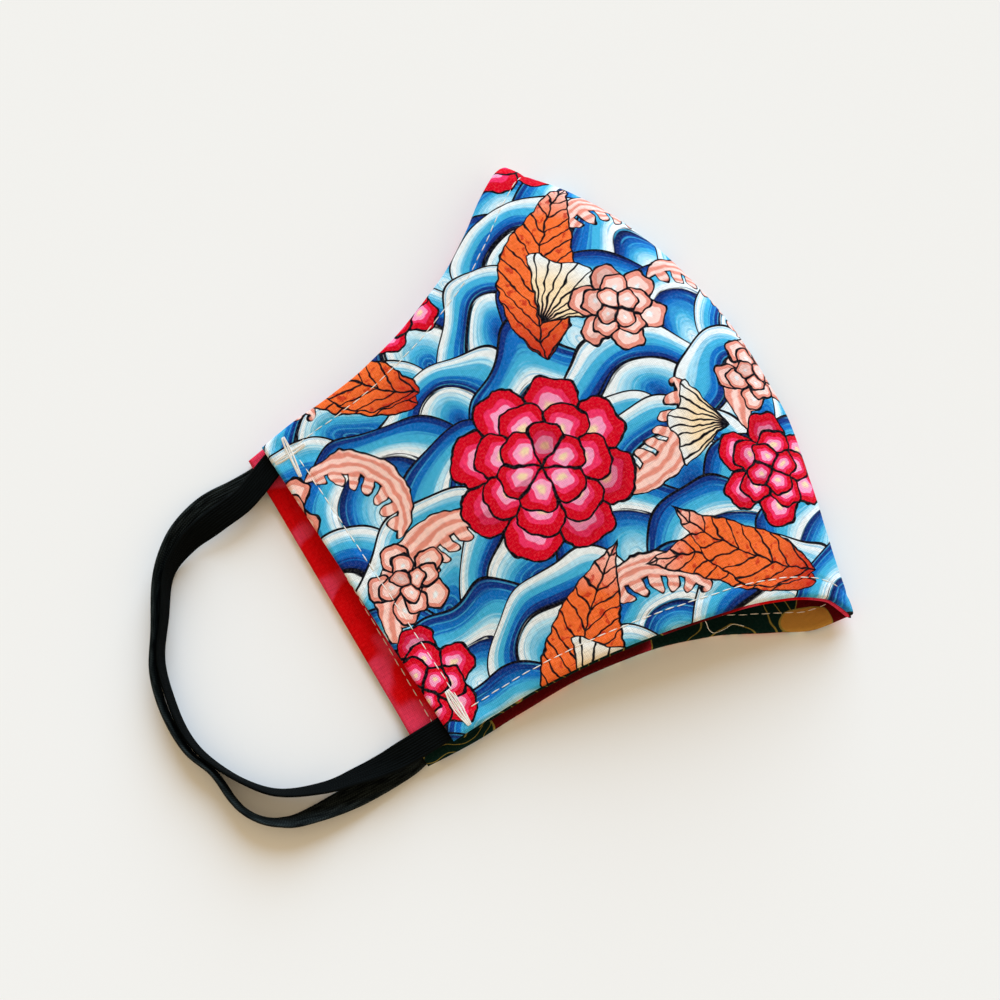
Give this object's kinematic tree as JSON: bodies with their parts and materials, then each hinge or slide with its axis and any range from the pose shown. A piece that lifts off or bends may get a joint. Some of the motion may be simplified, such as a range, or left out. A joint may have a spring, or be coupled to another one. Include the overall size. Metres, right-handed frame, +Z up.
{
  "type": "folded cloth face mask",
  "caption": "Fitted cotton face mask with a shaped centre seam, folded in half and lying flat, with lining and flat elastic ear loops.",
  "frame": {"origin": "bottom centre of the folded mask's box, on the surface that it lies on", "axes": "+Z up from the surface; +X from the ear loops towards the centre seam; +Y from the chin edge towards the nose edge, along the ear edge"},
  "size_m": [0.1644, 0.14, 0.0155],
  "materials": {
    "outer_cotton": "printed plain-weave cotton, blue with red and salmon",
    "lining_cotton": "printed plain-weave cotton, red with dark green",
    "elastic": "flat braided elastic, black, ribbed lengthwise",
    "thread": "spun sewing thread, cream"
  },
  "bodies": {
    "root": {"left_outer_panel": "outer_cotton", "right_outer_panel": "outer_cotton", "left_lining_panel": "lining_cotton", "right_lining_panel": "lining_cotton", "left_ear_loop": "elastic", "right_ear_loop": "elastic"}
  },
  "joints": []
}
